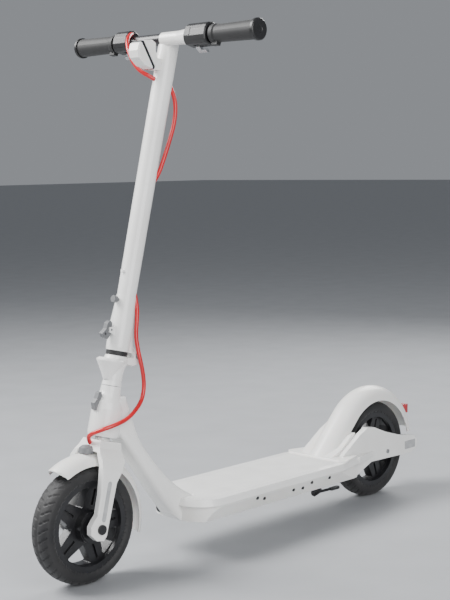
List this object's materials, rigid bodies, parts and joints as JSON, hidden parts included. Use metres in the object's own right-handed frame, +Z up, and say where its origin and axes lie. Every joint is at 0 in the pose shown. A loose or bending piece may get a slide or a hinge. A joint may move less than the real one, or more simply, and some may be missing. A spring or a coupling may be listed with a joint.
{
  "type": "electric kick scooter",
  "caption": "Folding electric kick scooter with spoked wheels, a wide flat deck, full fenders, a raked folding stem, straight handlebar with twin control pods and a headlight",
  "frame": {"origin": "on the ground, under the middle of the overall length and width", "axes": "+X forwards, +Y to the rider's left, +Z up"},
  "size_m": [1.092, 0.484, 1.012],
  "materials": {
    "white_paint": "gloss powder coat",
    "white_plastic": "gloss moulded plastic",
    "mat_rubber": "moulded anti-slip rubber, pale grey",
    "black_plastic": "matt moulded plastic",
    "black_rubber": "soft rubber",
    "tyre_rubber": "vulcanised rubber",
    "wheel_paint": "satin black cast alloy",
    "steel": "turned steel",
    "alloy": "bead-blasted alloy",
    "red_cable": "red cable jacket",
    "red_lens": "red light diffuser",
    "dark_lens": "smoked light cover",
    "reflector": "grey prism reflector",
    "grey_plastic": "grey moulded plastic",
    "battery_wrap": "shrink-wrapped cells",
    "copper": "enamelled copper windings on steel teeth"
  },
  "bodies": {
    "root": {"frame_neck": "white_paint", "headset_bearings": "steel", "front_hook": "grey_plastic", "deck_plate": "white_paint", "deck_mat": "mat_rubber", "deck_shell": "white_plastic", "deck_screws": "black_plastic", "battery_pack": "battery_wrap", "motor_controller": "alloy", "charge_socket": "black_plastic", "rear_arms": "white_paint", "rear_reflectors": "reflector", "rear_axle": "steel", "rear_axle_bolts": "steel", "rear_fender": "white_plastic", "tail_light": "red_lens", "brake_plate": "alloy", "kickstand_bracket": "wheel_paint", "kickstand_pin": "steel"},
    "fork": {"fork": "white_paint", "fork_reflectors": "reflector", "steerer_tube": "steel", "front_fender": "white_plastic", "fender_mount": "grey_plastic", "front_axle": "steel", "front_axle_caps": "black_plastic", "motor_stator": "copper", "fold_base": "white_paint", "fold_hinge_pin": "steel", "cable_lower": "red_cable"},
    "front_wheel": {"front_tyre": "tyre_rubber", "front_rim": "wheel_paint", "front_hub_cover": "wheel_paint", "front_bearings": "steel", "motor_magnets": "steel"},
    "rear_wheel": {"rear_tyre": "tyre_rubber", "rear_rim": "wheel_paint", "rear_hub_cover": "wheel_paint", "rear_bearings": "steel"},
    "stem": {"stem_tube": "white_paint", "stem_foot": "white_paint", "fold_gasket": "black_rubber", "hook_stud": "grey_plastic", "lever_pins": "steel", "handlebar": "wheel_paint", "grips": "black_rubber", "bar_end_caps": "black_plastic", "left_pod": "black_plastic", "right_pod": "black_plastic", "headlight_shells": "white_plastic", "headlight_lens": "dark_lens", "cable_top": "red_cable", "cable_stem": "red_cable"},
    "fold_latch": {"fold_latch": "grey_plastic"},
    "throttle_lever": {"throttle_lever": "alloy"},
    "brake_lever": {"brake_lever": "alloy"},
    "mode_button": {"mode_button": "black_plastic"},
    "charge_cap": {"charge_cap": "black_rubber"},
    "kickstand": {"kickstand": "wheel_paint"}
  },
  "joints": [
    {"name": "steering", "type": "hinge", "parent": "root", "child": "fork", "pos_m": [0.38826, 0, 0.2604], "axis": [-0.2504, 0, 0.9681], "range_deg": [-40, 40]},
    {"name": "front_wheel_spin", "type": "hinge", "parent": "fork", "child": "front_wheel", "pos_m": [0.438, 0, 0.108], "axis": [0, 1, 0], "continuous": true},
    {"name": "rear_wheel_spin", "type": "hinge", "parent": "root", "child": "rear_wheel", "pos_m": [-0.4, 0, 0.108], "axis": [0, 1, 0], "continuous": true},
    {"name": "stem_fold", "type": "hinge", "parent": "fork", "child": "stem", "pos_m": [0.31191, 0, 0.40385], "axis": [0, -1, 0], "range_deg": [0, 85], "deforming": ["cable_lower"]},
    {"name": "fold_latch_pivot", "type": "hinge", "parent": "stem", "child": "fold_latch", "pos_m": [0.36701, 0, 0.45839], "axis": [0, -1, 0], "range_deg": [0, 18], "stiffness_Nm_per_rad": 0.2},
    {"name": "throttle_press", "type": "hinge", "parent": "stem", "child": "throttle_lever", "pos_m": [0.2112, 0.0898, 0.97299], "axis": [0, -1, 0], "range_deg": [0, 22], "stiffness_Nm_per_rad": 0.08},
    {"name": "brake_press", "type": "hinge", "parent": "stem", "child": "brake_lever", "pos_m": [0.2112, -0.10004, 0.97299], "axis": [0, -1, 0], "range_deg": [0, 22], "stiffness_Nm_per_rad": 0.08},
    {"name": "mode_press", "type": "slide", "parent": "stem", "child": "mode_button", "axis": [-0.9681, 0, -0.2504], "range_m": [0, 0.0025], "stiffness_N_per_m": 300},
    {"name": "charge_cap_hinge", "type": "hinge", "parent": "root", "child": "charge_cap", "pos_m": [0.2156, -0.037, 0.0965], "axis": [0, -1, 0], "range_deg": [0, 100]},
    {"name": "kickstand_pivot", "type": "hinge", "parent": "root", "child": "kickstand", "pos_m": [-0.149, 0.054, 0.061], "axis": [0, -0.8192, -0.5736], "range_deg": [0, 85]}
  ]
}
